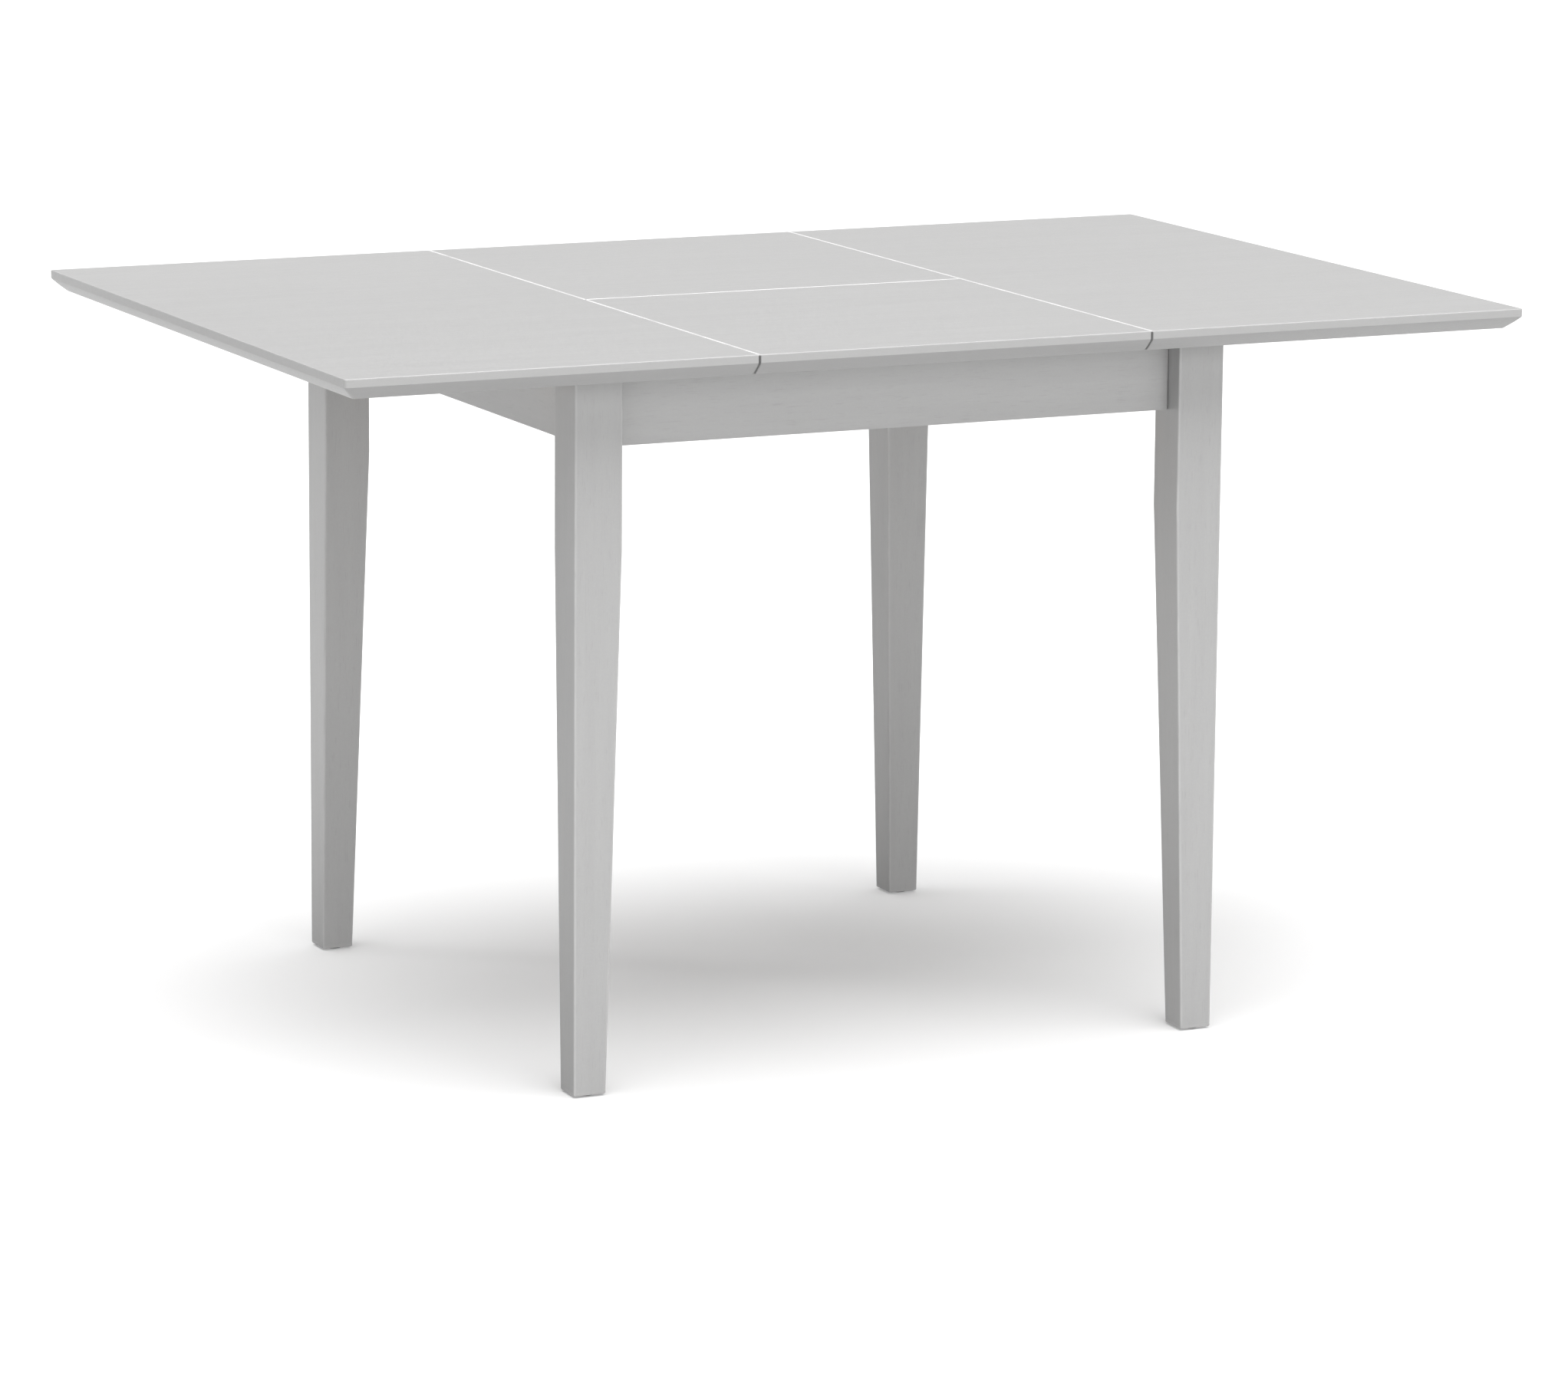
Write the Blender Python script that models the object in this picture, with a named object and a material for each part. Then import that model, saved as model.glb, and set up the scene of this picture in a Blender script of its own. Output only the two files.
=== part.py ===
"""Extending dining table with a two-piece folding centre leaf, shown pulled out with the leaf in place.

Metres, +Z up, +X along the length, the front edge at -Y. The origin is on the floor under the middle
of the tabletop. The two halves of the top slide on wooden runners, the leaf rests between them, and
its rear panel folds over onto its front panel.
"""
import math

import bmesh
import bpy
from mathutils import Matrix, Vector

# ---- Driving dimensions ----
LENGTH = 1.350
DEPTH = 0.885
HEIGHT = 0.775
TOP_T = 0.022
LEAF_LENGTH = LENGTH / 3
FRAME_X = -0.025        # the left half is pulled out 50 mm less than the right half
FRAME_SIZE = 0.748      # outside faces of the legs, both ways
LEG_TOP = 0.053
LEG_FOOT = 0.036
APRON_DROP = 0.100      # from the top surface to the lower edge of the aprons
APRON_T = 0.020
APRON_SETBACK = 0.024   # from the outside face of the leg

# ---- Tabletop edge ----
EDGE_BAND = 0.0085      # upright strip below the top surface
UNDERCUT = 0.0142       # how far the edge curves back below that strip
CURVE_POWER = 1.15      # how the undercut grows towards the underside
CURVE_STEPS = 6
ARRIS = 0.0010
SEAM_ARRIS = 0.0005

# ---- Fits ----
GAP = 0.0003            # between pieces that rest on or against each other
SLIDE_GAP = 0.0005      # between runner and guide
TOP_CLEARANCE = 0.002   # between the tabletop and the frame below it

# ---- Slides ----
RUNNER_W = 0.020
RUNNER_H = 0.020
RUNNER_INNER_END = 0.020
RUNNER_OUTER_END = 0.600
GUIDE_W = 0.022
GUIDE_H = 0.037
GUIDE_Z = 0.712
TONGUE_OUT = 0.005
TONGUE_H = 0.005
GROOVE_DEEP = 0.0056
GROOVE_H = 0.006
LEG_TO_RUNNER = 0.021
NOTCH_CLEARANCE = 0.001
PEG_R = 0.004
PEG_RIM = 0.0006
PEG_DEEP = 0.006
PEG_OUT = 0.013
PEG_X = 0.2707          # 80 mm from the left end apron and 30 mm from the right one

# ---- Joinery ----
TENON_LONG = 0.012
TENON_T = 0.010
TENON_SHOULDER = 0.025  # leaves room for the hanger bolt below the tenons
TAPER_START = 0.105     # below the aprons
FOOT_CHAMFER = 0.0015
BLOCK_NEAR = 0.042
BLOCK_FAR = 0.070
BLOCK_H = 0.030
BLOCK_LIFT = 0.003
BOLT_R = 0.004
BOLT_CHAMFER = 0.0008
BOLT_IN_LEG = 0.024
BOLT_PAST_BLOCK = 0.010
NUT_R = 0.0075
NUT_T = 0.006
RAIL_W = 0.030
RAIL_H = 0.015
RAIL_LIFT = 0.005
RAIL_OFFSET = 0.150

# ---- Foot glides ----
GLIDE_R = 0.012
GLIDE_T = 0.0020
GLIDE_RIM = 0.0005
NAIL_R = 0.0015
NAIL_LONG = 0.014

# ---- Leaf hinges and leaf plates ----
HINGE_X = 0.140
HINGE_LONG = 0.044
HINGE_TALL = 0.012
HINGE_DEEP = 0.018
ARM_W = 0.008
ARM_H = 0.005
ARM_OUT = 0.006
ARM_PITCH = 0.010
ARM_SLOT_GAP = 0.0006
ARM_SLOT_H = 0.0075
ARM_SLOT_DEEP = 0.0072
ARM_SLOT_LOWER = 0.0004  # the slots go a little lower than the arms need when they swing
PLATE_T = 0.002
PLATE_W = 0.040
PLATE_ON_TOP = 0.040
PLATE_UNDER_LEAF = 0.022
PLATE_Y = 0.110
SCREW_R = 0.0018
SCREW_HEAD_R = 0.004
SCREW_HEAD_T = 0.0016
SCREW_CROWN_R = 0.0024
SCREW_RIM_T = 0.00064
SCREW_LONG = 0.014
SCREW_PITCH = 0.012     # half the distance between a plate's two screws

# ---- Levels and faces worked out from them ----
UNDER = HEIGHT - TOP_T
FRAME_TOP = UNDER - TOP_CLEARANCE
APRON_LOW = HEIGHT - APRON_DROP
HALF = FRAME_SIZE / 2
APRON_OUT = HALF - APRON_SETBACK
APRON_IN = APRON_OUT - APRON_T
LEG_IN = HALF - LEG_TOP
RUNNER_TOP = UNDER - GAP
RUNNER_LOW = RUNNER_TOP - RUNNER_H
OUTER_RUNNER_Y = LEG_IN - LEG_TO_RUNNER - RUNNER_W / 2
GUIDE_Y = OUTER_RUNNER_Y - RUNNER_W / 2 - SLIDE_GAP - GUIDE_W / 2
INNER_RUNNER_Y = GUIDE_Y - GUIDE_W / 2 - SLIDE_GAP - RUNNER_W / 2
TONGUE_Z = RUNNER_LOW + RUNNER_H / 2
BLOCK_LOW = APRON_LOW + BLOCK_LIFT
BLOCK_MID = BLOCK_LOW + BLOCK_H / 2

ALONG_X = Matrix.Rotation(math.pi / 2, 4, "Z") @ Matrix.Rotation(math.pi / 2, 4, "X")
ALONG_Z = Matrix.Identity(4)
SIDES = {"left": -1, "right": 1}
DEPTHS = {"front": -1, "rear": 1}


def clear_scene():
    """Start from an empty scene."""
    for thing in list(bpy.data.objects):
        bpy.data.objects.remove(thing)


def finish_of(name, colour, roughness, metallic=0.0):
    """A plain painted, wooden or metal finish."""
    finish = bpy.data.materials.new(name)
    finish.use_nodes = True
    shader = finish.node_tree.nodes["Principled BSDF"]
    shader.inputs["Base Color"].default_value = (*colour, 1.0)
    shader.inputs["Roughness"].default_value = roughness
    shader.inputs["Metallic"].default_value = metallic
    return finish


def empty(name, location, parent=None):
    """An empty on a joint's axis, which the moving pieces hang from."""
    holder = bpy.data.objects.new(name, None)
    bpy.context.collection.objects.link(holder)
    holder.parent = parent
    origin = world_place(parent)
    holder.location = Vector(location) - origin
    return holder


def world_place(holder):
    """Where an unrotated empty stands in the world."""
    place = Vector((0.0, 0.0, 0.0))
    while holder is not None:
        place += holder.location
        holder = holder.parent
    return place


def add(name, shape, finish, parent=None, location=(0.0, 0.0, 0.0), round_piece=False):
    """Make an object from a bmesh, with its origin at a world location, under an optional empty."""
    mesh = bpy.data.meshes.new(name)
    bmesh.ops.recalc_face_normals(shape, faces=shape.faces)
    shape.to_mesh(mesh)
    shape.free()
    piece = bpy.data.objects.new(name, mesh)
    bpy.context.collection.objects.link(piece)
    piece.parent = parent
    piece.location = Vector(location) - world_place(parent)
    if finish is not None:
        mesh.materials.append(finish)
    if round_piece:
        mesh.shade_smooth()
        mesh.set_sharp_from_angle(angle=math.radians(35))
    return piece


def rings(loops):
    """A closed solid through equal loops of points, the first and last of them capped."""
    shape = bmesh.new()
    made = [[shape.verts.new(point) for point in loop] for loop in loops]
    count = len(loops[0])
    for lower, upper in zip(made, made[1:]):
        for i in range(count):
            j = (i + 1) % count
            shape.faces.new((lower[i], lower[j], upper[j], upper[i]))
    shape.faces.new(list(reversed(made[0])))
    shape.faces.new(made[-1])
    return shape


def box(low, high):
    """A box between two corners."""
    (x0, y0, z0), (x1, y1, z1) = low, high
    loops = [[(x0, y0, z), (x1, y0, z), (x1, y1, z), (x0, y1, z)] for z in (z0, z1)]
    return rings(loops)


def centred_box(size):
    """A box round the origin."""
    half = [side / 2 for side in size]
    return box([-side for side in half], half)


def prism(outline, low, high, turn=ALONG_Z):
    """An outline extruded from low to high, then turned from +Z to another direction."""
    shape = rings([[(a, b, level) for a, b in outline] for level in (low, high)])
    bmesh.ops.transform(shape, matrix=turn, verts=shape.verts)
    return shape


def turned(profile, segments=16, turn=ALONG_Z):
    """A round solid from (radius, height) points, turned from +Z to another direction."""
    loops = []
    for radius, level in profile:
        angles = [2 * math.pi * i / segments for i in range(segments)]
        loops.append([(radius * math.cos(a), radius * math.sin(a), level) for a in angles])
    shape = rings(loops)
    bmesh.ops.transform(shape, matrix=turn, verts=shape.verts)
    return shape


def tool(name, shape, location=(0.0, 0.0, 0.0)):
    """A shape that only cuts or adds to a piece."""
    helper = add(name, shape, None, None, location)
    helper.hide_render = True
    helper.display_type = "WIRE"
    return helper


def boolean(piece, helper, operation="DIFFERENCE"):
    """Cut a helper out of a piece, or join it on."""
    step = piece.modifiers.new(helper.name, "BOOLEAN")
    step.operation = operation
    step.solver = "EXACT"
    step.object = helper


def corners():
    """The four corners of the frame: name, side along X, side along Y."""
    for depth, y_side in DEPTHS.items():
        for side, x_side in SIDES.items():
            yield f"{depth}_{side}", x_side, y_side


# ---- Frame ----
def diagonal(x_side, y_side):
    """Turns +Z to the horizontal direction from a leg to the middle of the frame."""
    heading = Vector((-x_side, -y_side, 0.0)).normalized()
    return heading.to_track_quat("Z", "Y").to_matrix().to_4x4()


def leg(corner, x_side, y_side, wood):
    """Square leg, tapered on its two inner faces below the aprons."""
    taper_z = APRON_LOW - TAPER_START
    levels = [
        (GLIDE_T, LEG_FOOT, FOOT_CHAMFER),
        (GLIDE_T + FOOT_CHAMFER, LEG_FOOT, 0.0),
        (taper_z, LEG_TOP, 0.0),
        (FRAME_TOP, LEG_TOP, 0.0),
    ]
    loops = []
    for level, width, inset in levels:
        near, far = inset, width - inset
        plan = [(near, near), (far, near), (far, far), (near, far)]
        loops.append([(-x_side * u, -y_side * v, level) for u, v in plan])
    outer = (FRAME_X + x_side * HALF, y_side * HALF, 0.0)
    return add(f"leg_{corner}", rings(loops), wood, None, outer)


def cut_leg(piece, corner, x_side, y_side):
    """Mortises for two aprons, the hanger bolt's hole and the glide's nail hole."""
    low = APRON_LOW + TENON_SHOULDER - GAP
    high = FRAME_TOP - TENON_SHOULDER + GAP
    half_t = TENON_T / 2 + GAP
    mid = APRON_OUT - APRON_T / 2
    reach = LEG_IN + TENON_LONG + GAP
    clear = LEG_IN - TENON_LONG
    for name, along_x in (("long", True), ("end", False)):
        spans = ((clear, reach), (mid - half_t, mid + half_t))
        (u0, u1), (v0, v1) = spans if along_x else reversed(spans)
        x_pair = sorted((x_side * u0, x_side * u1))
        y_pair = sorted((y_side * v0, y_side * v1))
        cut = box((x_pair[0], y_pair[0], low), (x_pair[1], y_pair[1], high))
        boolean(piece, tool(f"cut_{name}_mortise_{corner}", cut, (FRAME_X, 0.0, 0.0)))
    start = (FRAME_X + x_side * LEG_IN, y_side * LEG_IN, BLOCK_MID)
    bore = [(BOLT_R + GAP, -BOLT_IN_LEG - GAP), (BOLT_R + GAP, BOLT_IN_LEG)]
    hole = turned(bore, 12, diagonal(x_side, y_side))
    boolean(piece, tool(f"cut_bolt_hole_{corner}", hole, start))
    foot_x, foot_y = foot_centre(x_side, y_side)
    nail = turned([(NAIL_R + GAP, -NAIL_LONG), (NAIL_R + GAP, NAIL_LONG + GAP)], 8)
    boolean(piece, tool(f"cut_nail_hole_{corner}", nail, (foot_x, foot_y, GLIDE_T)))


def foot_centre(x_side, y_side):
    """The middle of a leg's foot."""
    offset = HALF - LEG_FOOT / 2
    return FRAME_X + x_side * offset, y_side * offset


def glide(corner, x_side, y_side, plastic):
    """A round glide with its nail, one solid, under a leg."""
    base = GLIDE_T - GAP
    profile = [(GLIDE_R - GLIDE_RIM, 0.0), (GLIDE_R, GLIDE_RIM), (GLIDE_R, base)]
    profile += [(NAIL_R, base), (NAIL_R, NAIL_LONG)]
    foot_x, foot_y = foot_centre(x_side, y_side)
    return add(f"foot_glide_{corner}", turned(profile, 20), plastic, None, (foot_x, foot_y, 0.0), True)


def apron(name, along_x, side, wood):
    """A frame rail between two legs, with a tenon at each end."""
    reach = LEG_IN - GAP
    mid = (APRON_OUT - APRON_T / 2) * side
    tall = FRAME_TOP - APRON_LOW
    long = 2 * reach
    size = (long, APRON_T, tall) if along_x else (APRON_T, long, tall)
    place = (0.0, mid) if along_x else (mid, 0.0)
    centre = Vector((FRAME_X + place[0], place[1], APRON_LOW + tall / 2))
    piece = add(f"apron_{name}", centred_box(size), wood, None, centre)
    tenon_long = 2 * (LEG_IN + TENON_LONG - GAP)
    tenon_tall = tall - 2 * TENON_SHOULDER
    tenon = (tenon_long, TENON_T, tenon_tall) if along_x else (TENON_T, tenon_long, tenon_tall)
    boolean(piece, tool(f"join_tenons_{name}", centred_box(tenon), centre), "UNION")
    return piece


def notch_end_apron(piece, side, runner_y):
    """Two notches in an end apron's upper edge, which the runners of that side pass through."""
    wide = RUNNER_W + 2 * NOTCH_CLEARANCE
    low = RUNNER_LOW - NOTCH_CLEARANCE
    tall = 2 * (FRAME_TOP - low)
    x = FRAME_X + SIDES[side] * (APRON_OUT - APRON_T / 2)
    for depth, y_side in DEPTHS.items():
        cut = centred_box((2 * APRON_T, wide, tall))
        boolean(piece, tool(f"cut_notch_{side}_{depth}", cut, (x, y_side * runner_y, low + tall / 2)))


def corner_block(corner, x_side, y_side, wood):
    """A diagonal brace behind a leg, drilled for the hanger bolt."""
    face = APRON_IN - GAP
    plan = [(0.0, BLOCK_NEAR), (0.0, BLOCK_FAR), (BLOCK_FAR, 0.0), (BLOCK_NEAR, 0.0)]
    outline = [(-x_side * u, -y_side * v) for u, v in plan]
    centre = (FRAME_X + x_side * face, y_side * face, BLOCK_LOW)
    piece = add(f"corner_block_{corner}", prism(outline, 0.0, BLOCK_H), wood, None, centre)
    hole = turned([(BOLT_R + GAP, 0.0), (BOLT_R + GAP, 2 * BLOCK_FAR)], 12, diagonal(x_side, y_side))
    start = (FRAME_X + x_side * face, y_side * face, BLOCK_MID)
    boolean(piece, tool(f"cut_block_hole_{corner}", hole, start))
    return piece


def hanger_bolt(corner, x_side, y_side, steel):
    """The bolt that draws a leg into its corner block, and the nut on it."""
    turn = diagonal(x_side, y_side)
    face = APRON_IN - GAP
    block_far = (LEG_IN - face) * math.sqrt(2) + BLOCK_FAR / math.sqrt(2)
    tip = block_far + GAP + NUT_T + BOLT_PAST_BLOCK
    start = (FRAME_X + x_side * LEG_IN, y_side * LEG_IN, BLOCK_MID)
    profile = [(BOLT_R - BOLT_CHAMFER, -BOLT_IN_LEG), (BOLT_R, BOLT_CHAMFER - BOLT_IN_LEG)]
    profile += [(BOLT_R, tip - BOLT_CHAMFER), (BOLT_R - BOLT_CHAMFER, tip)]
    add(f"hanger_bolt_{corner}", turned(profile, 12, turn), steel, None, start, True)
    seat = block_far + GAP
    nut = turned([(NUT_R, seat), (NUT_R, seat + NUT_T)], 6, turn)
    piece = add(f"hanger_nut_{corner}", nut, steel, None, start)
    bore = turned([(BOLT_R + GAP, seat - NUT_T), (BOLT_R + GAP, seat + 2 * NUT_T)], 12, turn)
    boolean(piece, tool(f"cut_nut_bore_{corner}", bore, start))


def guide_beam(depth, y_side, wood):
    """A beam between the end aprons with a tongue on both faces, for the runners of both halves."""
    half_w = GUIDE_W / 2
    low, high = TONGUE_Z - TONGUE_H / 2 - GUIDE_Z, TONGUE_Z + TONGUE_H / 2 - GUIDE_Z
    right = [(half_w, 0.0), (half_w, low), (half_w + TONGUE_OUT, low)]
    right += [(half_w + TONGUE_OUT, high), (half_w, high), (half_w, GUIDE_H)]
    left = [(-y, z) for y, z in reversed(right)]
    reach = APRON_IN - GAP
    shape = prism(right + left, -reach, reach, ALONG_X)
    return add(f"guide_beam_{depth}", shape, wood, None, (FRAME_X, y_side * GUIDE_Y, GUIDE_Z))


def storage_rail(side, x_side, wood):
    """A batten between the long aprons, which the folded leaf is kept on."""
    low = APRON_LOW + RAIL_LIFT
    shape = centred_box((RAIL_W, 2 * (APRON_IN - GAP), RAIL_H))
    place = (FRAME_X + x_side * RAIL_OFFSET, 0.0, low + RAIL_H / 2)
    return add(f"leaf_storage_rail_{side}", shape, wood, None, place)


# ---- Top ----
def slab(x_span, y_span, plain):
    """A panel of the top. Sides named in plain are straight seams, the others have the shaped edge."""
    levels = []
    for step in range(CURVE_STEPS, -1, -1):
        down = step / CURVE_STEPS
        level = HEIGHT - EDGE_BAND - down * (TOP_T - EDGE_BAND)
        levels.append((level, UNDERCUT * down ** CURVE_POWER, 0.0))
    levels += [
        (HEIGHT - ARRIS, 0.0, 0.0),
        (HEIGHT - SEAM_ARRIS, ARRIS / 3, 0.0),
        (HEIGHT, ARRIS, SEAM_ARRIS),
    ]
    loops = []
    for level, shaped_in, seam_in in levels:
        inset = {side: seam_in if side in plain else shaped_in for side in ("-x", "+x", "-y", "+y")}
        x0, x1 = x_span[0] + inset["-x"], x_span[1] - inset["+x"]
        y0, y1 = y_span[0] + inset["-y"], y_span[1] - inset["+y"]
        loops.append([(x0, y0, level), (x1, y0, level), (x1, y1, level), (x0, y1, level)])
    return rings(loops)


def shift(shape, place):
    """Move a shape from world coordinates to coordinates round its origin."""
    bmesh.ops.translate(shape, vec=-Vector(place), verts=shape.verts)
    return shape


def half_top(side, x_side, holder, top_finish):
    """One half of the tabletop."""
    inner, outer = LEAF_LENGTH / 2 + GAP, LENGTH / 2
    span = sorted((x_side * inner, x_side * outer))
    seam = "+x" if x_side < 0 else "-x"
    place = world_place(holder)
    shape = shift(slab(span, (-DEPTH / 2, DEPTH / 2), {seam}), place)
    return add(f"tabletop_{side}", shape, top_finish, holder, place)


def runner(side, x_side, depth, y_side, holder, wood):
    """A grooved runner under one half, with its stop peg's hole."""
    outer_pair = side == "right"
    y_place = OUTER_RUNNER_Y if outer_pair else INNER_RUNNER_Y
    groove_side = -y_side if outer_pair else y_side
    half_w = RUNNER_W / 2
    mid, half_groove = RUNNER_H / 2, GROOVE_H / 2
    outline = [(-half_w, 0.0), (half_w, 0.0), (half_w, mid - half_groove)]
    outline += [(half_w - GROOVE_DEEP, mid - half_groove), (half_w - GROOVE_DEEP, mid + half_groove)]
    outline += [(half_w, mid + half_groove), (half_w, RUNNER_H), (-half_w, RUNNER_H)]
    outline = [(groove_side * y, z) for y, z in outline]
    if groove_side < 0:
        outline.reverse()
    long = RUNNER_OUTER_END - RUNNER_INNER_END
    place = (x_side * (RUNNER_INNER_END + long / 2), y_side * y_place, RUNNER_LOW)
    name = f"{side}_{depth}"
    piece = add(f"runner_{name}", prism(outline, -long / 2, long / 2, ALONG_X), wood, holder, place)
    peg_place = (x_side * PEG_X, y_side * y_place, RUNNER_LOW)
    hole = turned([(PEG_R + GAP, -PEG_DEEP), (PEG_R + GAP, PEG_DEEP + GAP)], 12)
    boolean(piece, tool(f"cut_peg_hole_{name}", hole, peg_place))
    return peg_place


def stop_peg(name, place, holder, steel):
    """The peg under a runner that meets the end apron when the half is fully pulled out."""
    profile = [(PEG_R - PEG_RIM, -PEG_OUT), (PEG_R, PEG_RIM - PEG_OUT), (PEG_R, PEG_DEEP)]
    add(f"stop_peg_{name}", turned(profile, 12), steel, holder, place, True)


def leaf_plate(name, x_side, y_place, holder, top, steel):
    """A flat plate screwed under a half's inner edge, which reaches under the leaf, and its screws."""
    seam = LEAF_LENGTH / 2
    span = sorted((x_side * (seam - PLATE_UNDER_LEAF), x_side * (seam + PLATE_ON_TOP)))
    place = Vector((sum(span) / 2, y_place, UNDER - GAP - PLATE_T / 2))
    sheet = centred_box((span[1] - span[0], PLATE_W, PLATE_T))
    plate = add(f"leaf_plate_{name}", sheet, steel, holder, place)
    head_top = UNDER - 2 * GAP - PLATE_T
    for number, y_side in enumerate((-1, 1), 1):
        screw_place = (x_side * (seam + PLATE_ON_TOP / 2), y_place + y_side * SCREW_PITCH, head_top)
        hole = turned([(SCREW_R + GAP, -SCREW_LONG), (SCREW_R + GAP, SCREW_LONG + GAP)], 10)
        cut = tool(f"cut_screw_hole_{name}_{number}", hole, screw_place)
        boolean(plate, cut)
        boolean(top, cut)
        profile = [(SCREW_CROWN_R, -SCREW_HEAD_T), (SCREW_HEAD_R, -SCREW_RIM_T), (SCREW_HEAD_R, 0.0)]
        profile += [(SCREW_R, 0.0), (SCREW_R, SCREW_LONG)]
        add(f"plate_screw_{name}_{number}", turned(profile, 10), steel, holder, screw_place, True)


def top_half(side, x_side, finishes):
    """One sliding half: panel, two runners with stop pegs, two leaf plates and their screws."""
    holder = empty(f"{side}_slide", (x_side * (LENGTH + LEAF_LENGTH) / 4, 0.0, UNDER))
    top = half_top(side, x_side, holder, finishes["top"])
    for depth, y_side in DEPTHS.items():
        name = f"{side}_{depth}"
        peg_place = runner(side, x_side, depth, y_side, holder, finishes["beech"])
        stop_peg(name, peg_place, holder, finishes["steel"])
        leaf_plate(name, x_side, y_side * PLATE_Y, holder, top, finishes["steel"])


# ---- Leaf ----
def leaf_panel(depth, y_side, holder, top_finish):
    """One of the leaf's two panels, mortised for the hinges."""
    reach = LEAF_LENGTH / 2 - GAP
    y_span = sorted((y_side * GAP, y_side * DEPTH / 2))
    seam = "+y" if y_side < 0 else "-y"
    place = world_place(holder)
    shape = shift(slab((-reach, reach), y_span, {"-x", "+x", seam}), place)
    panel = add(f"leaf_panel_{depth}", shape, top_finish, holder, place)
    for name, x_side in SIDES.items():
        size = (HINGE_LONG + 2 * GAP, 2 * (HINGE_DEEP + 2 * GAP), HINGE_TALL + 2 * GAP)
        cut = tool(f"cut_hinge_mortise_{depth}_{name}", centred_box(size), hinge_centre(x_side))
        boolean(panel, cut)


def hinge_centre(x_side):
    """The middle of a hinge, on the seam and half way down the panels."""
    return x_side * HINGE_X, 0.0, HEIGHT - TOP_T / 2


def arm_span(slot_deep, width, y_side, low, high, centre_x):
    """A box along an arm or its slot, from one side of the seam to the other."""
    y0, y1 = sorted((y_side * slot_deep[0], y_side * slot_deep[1]))
    return box((centre_x - width / 2, y0, low), (centre_x + width / 2, y1, high))


def hinge_half(side, x_side, depth, y_side, holder, brass):
    """A mortised hinge body. The front one has two arms and the rear one has the arm between them."""
    y_pair = sorted((y_side * GAP, y_side * (HINGE_DEEP + GAP)))
    half_x, half_z = HINGE_LONG / 2, HINGE_TALL / 2
    place = hinge_centre(x_side)
    body = box((-half_x, y_pair[0], -half_z), (half_x, y_pair[1], half_z))
    name = f"{depth}_{side}"
    piece = add(f"leaf_hinge_{name}", body, brass, holder, place)
    own, other = ((-ARM_PITCH, ARM_PITCH), (0.0,)) if y_side < 0 else ((0.0,), (-ARM_PITCH, ARM_PITCH))
    for number, x in enumerate(other, 1):
        span = (-GAP, ARM_SLOT_DEEP)
        low, high = -ARM_SLOT_H / 2 - ARM_SLOT_LOWER, ARM_SLOT_H / 2
        slot = arm_span(span, ARM_W + 2 * ARM_SLOT_GAP, y_side, low, high, x)
        boolean(piece, tool(f"cut_arm_slot_{name}_{number}", slot, place))
    for number, x in enumerate(own, 1):
        arm = arm_span((-ARM_OUT, HINGE_DEEP / 2), ARM_W, y_side, -ARM_H / 2, ARM_H / 2, x)
        boolean(piece, tool(f"join_arm_{name}_{number}", arm, place), "UNION")


def leaf(finishes):
    """The leaf lifts as one, and its rear panel folds about the seam between the two panels."""
    lift = empty("leaf_lift", (0.0, -DEPTH / 4, UNDER))
    fold = empty("leaf_fold", (0.0, 0.0, HEIGHT + GAP), lift)
    for depth, y_side in DEPTHS.items():
        holder = lift if depth == "front" else fold
        leaf_panel(depth, y_side, holder, finishes["top"])
        for side, x_side in SIDES.items():
            hinge_half(side, x_side, depth, y_side, holder, finishes["brass"])


def frame(finishes):
    """Legs, aprons, corner braces, guide beams and storage rails."""
    paint, beech, steel = finishes["paint"], finishes["beech"], finishes["steel"]
    for corner, x_side, y_side in corners():
        piece = leg(corner, x_side, y_side, paint)
        cut_leg(piece, corner, x_side, y_side)
        glide(corner, x_side, y_side, finishes["plastic"])
        corner_block(corner, x_side, y_side, beech)
        hanger_bolt(corner, x_side, y_side, steel)
    for depth, y_side in DEPTHS.items():
        apron(depth, True, y_side, paint)
        guide_beam(depth, y_side, beech)
    for side, x_side in SIDES.items():
        end = apron(side, False, x_side, paint)
        notch_end_apron(end, side, INNER_RUNNER_Y if side == "left" else OUTER_RUNNER_Y)
        storage_rail(side, x_side, beech)


def main():
    clear_scene()
    finishes = {
        "top": finish_of("top_lacquer", (0.62, 0.62, 0.61), 0.45),
        "paint": finish_of("frame_lacquer", (0.60, 0.60, 0.59), 0.45),
        "beech": finish_of("bare_beech", (0.60, 0.44, 0.29), 0.6),
        "steel": finish_of("zinc_plated_steel", (0.55, 0.56, 0.58), 0.35, 1.0),
        "brass": finish_of("satin_brass", (0.70, 0.55, 0.28), 0.35, 1.0),
        "plastic": finish_of("glide_plastic", (0.10, 0.10, 0.10), 0.6),
    }
    frame(finishes)
    for side, x_side in SIDES.items():
        top_half(side, x_side, finishes)
    leaf(finishes)


main()
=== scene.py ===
"""Looks for the extending dining table: lacquered wood, bare beech slides, steel and brass fittings."""
import math

import bmesh
import bpy
from mathutils import Euler, Matrix, Vector


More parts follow.
